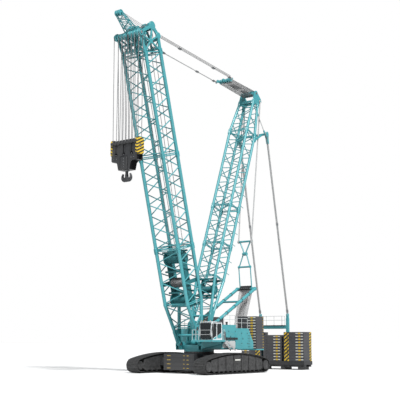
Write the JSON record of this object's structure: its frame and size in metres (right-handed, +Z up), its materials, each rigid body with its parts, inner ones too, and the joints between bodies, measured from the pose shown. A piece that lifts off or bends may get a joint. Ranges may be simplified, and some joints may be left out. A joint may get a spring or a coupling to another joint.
{
  "type": "crawler crane",
  "caption": "Heavy lift crawler crane with lattice boom, lattice derrick mast, suspended ballast pallet and hook block",
  "frame": {"origin": "the slewing axis at ground level", "axes": "+X forward under the boom, +Y to the crane's left, +Z up"},
  "size_m": [28.9518, 10.12, 35.5672],
  "materials": {
    "teal_paint": "gloss",
    "grey_paint": "satin",
    "white_paint": "gloss",
    "steel": "satin",
    "track_iron": "matte",
    "glass": "gloss",
    "seat_plastic": "matte"
  },
  "bodies": {
    "undercarriage": {"car_body": "teal_paint", "car_body_weights": "grey_paint", "slew_ring": "steel", "track_left": "track_iron", "track_right": "track_iron", "track_frame_left": "track_iron", "track_frame_right": "track_iron", "track_wheels_left": "track_iron", "track_wheels_right": "track_iron"},
    "upper_works": {"revolving_frame": "teal_paint", "boom_foot_pins": "steel", "mast_bracket": "teal_paint", "winches": "teal_paint", "house_left": "teal_paint", "house_right": "teal_paint", "power_unit": "teal_paint", "cab_deck": "teal_paint", "cab_cabinet": "white_paint", "access_ladder": "grey_paint", "walkway_rails": "grey_paint", "counterweight_left": "grey_paint", "counterweight_right": "grey_paint", "cab_shell": "white_paint", "cab_glass": "glass", "operator_seat": "seat_plastic"},
    "door_leaf": {"cab_door": "white_paint", "cab_door_glass": "glass"},
    "boom": {"boom_butt": "teal_paint", "boom_insert_lower": "teal_paint", "boom_top": "teal_paint", "boom_head": "teal_paint", "boom_guide_sheaves": "steel", "boom_winch": "teal_paint", "tip_strut": "teal_paint"},
    "nose": {"nose_sheaves": "steel", "rope_anchor": "steel"},
    "hook_block": {"block_frame": "grey_paint", "block_sheaves": "steel"},
    "hook_body": {"hook": "steel"},
    "stays": {"equalizer": "teal_paint", "boom_stays": "steel"},
    "mast": {"mast_foot": "teal_paint", "mast_lower": "teal_paint", "mast_upper": "teal_paint", "mast_top": "teal_paint", "mast_head": "teal_paint", "mast_head_sheaves": "steel", "ballast_spreader": "teal_paint", "backstays": "steel", "stay_yokes": "steel", "ballast_pendants": "steel"},
    "ballast": {"pallet_tray": "teal_paint", "pallet_hanger": "teal_paint", "pallet_walkway": "grey_paint", "ballast_stack_left": "grey_paint", "ballast_stack_centre": "grey_paint", "ballast_stack_right": "grey_paint"},
    "live_mast": {"live_mast_legs": "teal_paint", "live_mast_sheaves": "steel"}
  },
  "joints": [
    {"name": "slew", "type": "hinge", "parent": "undercarriage", "child": "upper_works", "pos_m": [0, 0, 2.194], "axis": [0, 0, 1], "continuous": true},
    {"name": "cab_door_swing", "type": "hinge", "parent": "upper_works", "child": "door_leaf", "pos_m": [1.81, 4.234, 4.2], "axis": [0, 0, 1], "range_deg": [0, 110]},
    {"name": "boom_luff", "type": "hinge", "parent": "upper_works", "child": "boom", "pos_m": [1.5, 0, 2.95], "axis": [0, 1, 0], "range_deg": [-5, 34.6]},
    {"name": "nose_level", "type": "hinge", "parent": "boom", "child": "nose", "pos_m": [11.51116, 0, 33.35424], "axis": [0, 1, 0], "range_deg": [-34.7, 5.1]},
    {"name": "stay_turn", "type": "hinge", "parent": "boom", "child": "stays", "pos_m": [8.2021, 0, 33.87951], "axis": [0, 1, 0], "range_deg": [-16.29, 2.44]},
    {"name": "hoist", "type": "slide", "parent": "nose", "child": "hook_block", "axis": [0, 0, 1], "range_m": [-18, 7.5]},
    {"name": "hook_swivel", "type": "hinge", "parent": "hook_block", "child": "hook_body", "pos_m": [11.51116, 0, 19.68424], "axis": [0, 0, 1], "continuous": true},
    {"name": "mast_luff", "type": "hinge", "parent": "upper_works", "child": "mast", "pos_m": [-0.195, 0, 5], "axis": [0, 1, 0], "range_deg": [0, 3]},
    {"name": "ballast_level", "type": "hinge", "parent": "mast", "child": "ballast", "pos_m": [-14.41, 0, 6.26], "axis": [0, 1, 0], "range_deg": [-3.05, 0.05]},
    {"name": "live_mast_follow", "type": "hinge", "parent": "upper_works", "child": "live_mast", "pos_m": [-0.95, 0, 5], "axis": [0, 1, 0], "range_deg": [-0.05, 3.35]}
  ],
  "couplings": [
    {"joint": "nose_level", "follows": "boom_luff", "ratio": -1},
    {"joint": "stay_turn", "follows": "boom_luff", "ratio": -0.4679},
    {"joint": "ballast_level", "follows": "mast_luff", "ratio": -1},
    {"joint": "live_mast_follow", "follows": "mast_luff", "ratio": 1.1}
  ]
}
